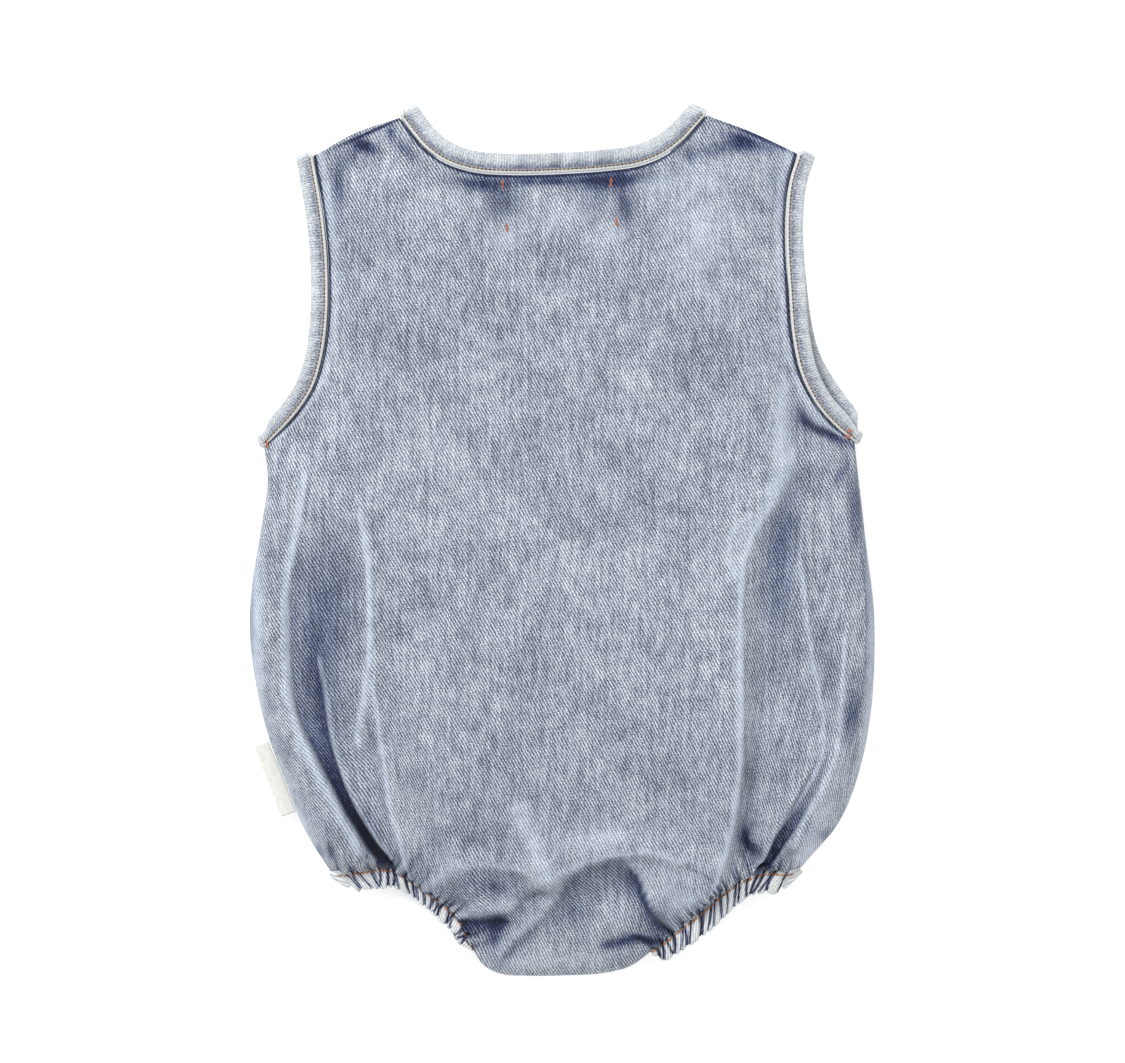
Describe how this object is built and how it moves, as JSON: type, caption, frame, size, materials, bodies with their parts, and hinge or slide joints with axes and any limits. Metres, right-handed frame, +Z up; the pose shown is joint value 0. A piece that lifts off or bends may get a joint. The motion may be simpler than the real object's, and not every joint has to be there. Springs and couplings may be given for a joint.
{
  "type": "baby romper",
  "caption": "Sleeveless bubble romper in washed denim, lying on its front, with bound neck and armholes and gathered leg casings.",
  "frame": {"origin": "centre of the garment's bounding box, on the surface it lies on", "axes": "+X across the garment to the wearer's right as it lies back up, +Y from crotch to neck, +Z up, away from the surface"},
  "size_m": [0.2876, 0.4026, 0.0318],
  "materials": {
    "denim": "washed light-blue denim twill, matte",
    "binding": "the same denim turned double, worn pale, matte",
    "casing": "the same denim gathered on elastic, matte",
    "label": "blank off-white woven tape",
    "snap": "satin snap cap"
  },
  "bodies": {
    "root": {"back_panel": "denim", "front_panel": "denim", "neck_binding": "binding", "arm_binding_left": "binding", "arm_binding_right": "binding", "leg_casing_left": "casing", "leg_casing_right": "casing", "crotch_flap": "denim", "side_label": "label", "crotch_snap_1": "snap", "crotch_snap_2": "snap", "crotch_snap_3": "snap"}
  },
  "joints": []
}
